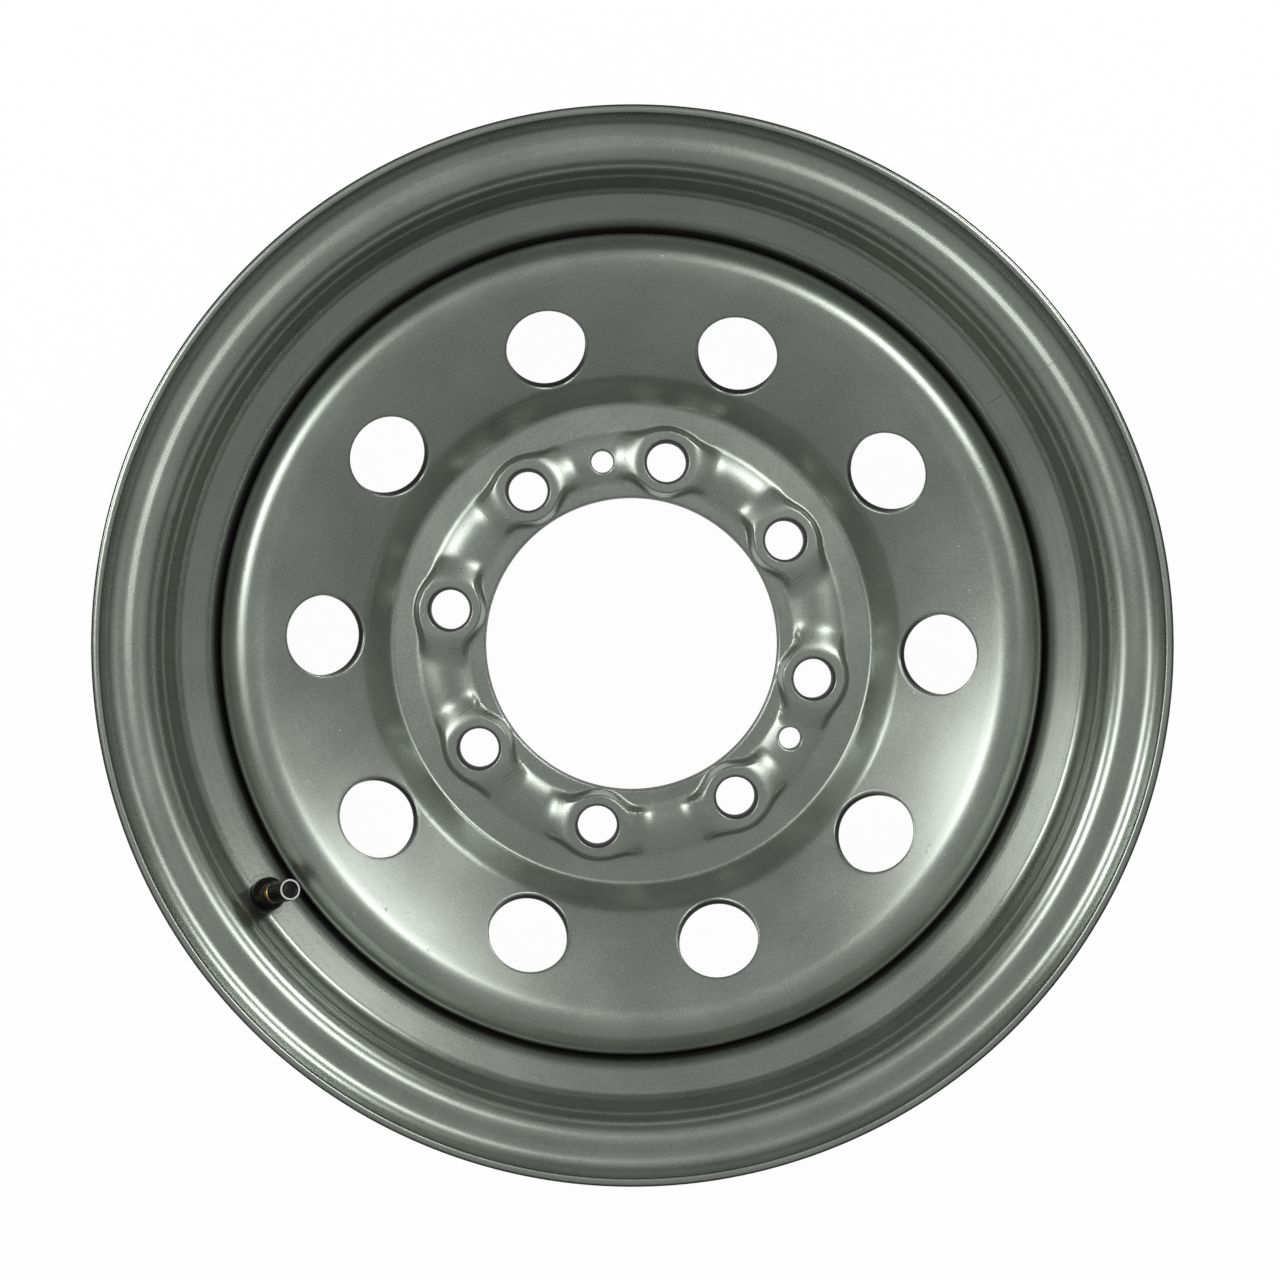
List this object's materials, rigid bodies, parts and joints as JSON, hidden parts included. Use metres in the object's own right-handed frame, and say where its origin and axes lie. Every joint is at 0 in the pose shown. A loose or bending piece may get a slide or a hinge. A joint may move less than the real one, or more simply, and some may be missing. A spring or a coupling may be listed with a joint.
{
  "type": "steel wheel",
  "caption": "Painted pressed-steel drop-centre wheel with a dished disc, round hand holes, raised bolt bosses and a capped snap-in tyre valve.",
  "frame": {"origin": "on the wheel's axis, in the plane of the disc's hub face, which is also the rim's middle plane", "axes": "+Z along the axis to the outboard side, +X to the rim's butt weld and the first bolt, the valve on -X"},
  "size_m": [0.4448, 0.4446, 0.176],
  "materials": {
    "grey_paint": "satin grey metallic paint with fine orange peel and rolling streaks",
    "weld_paint": "the same grey paint over rippled weld beads",
    "valve_rubber": "matte black rubber",
    "stem_brass": "turned brass",
    "core_brass": "turned brass",
    "core_seal": "smooth red plastic ring",
    "core_rubber": "black rubber",
    "spring_steel": "drawn steel wire",
    "cap_plastic": "black plastic with a bright scuffed end ring",
    "cap_rubber": "black rubber"
  },
  "bodies": {
    "wheel": {"rim": "grey_paint", "disc": "grey_paint", "disc_weld": "weld_paint", "valve_body": "valve_rubber", "valve_stem": "stem_brass", "valve_core_barrel": "core_brass", "valve_core_gasket": "core_seal", "valve_core_spring": "spring_steel"},
    "valve_pin": {"valve_core_pin": "core_brass", "valve_core_seal": "core_rubber"},
    "cap": {"valve_cap": "cap_plastic", "valve_cap_seal": "cap_rubber"}
  },
  "joints": [
    {"name": "cap_unscrew", "type": "slide", "parent": "wheel", "child": "cap", "axis": [0.5112, -0.1219, 0.8508], "range_m": [0, 0.013]},
    {"name": "pin_press", "type": "slide", "parent": "wheel", "child": "valve_pin", "axis": [-0.5112, 0.1219, -0.8508], "range_m": [0, 0.0012], "stiffness_N_per_m": 1500, "springref_m": -0.0004, "deforming": ["valve_core_spring"]}
  ]
}
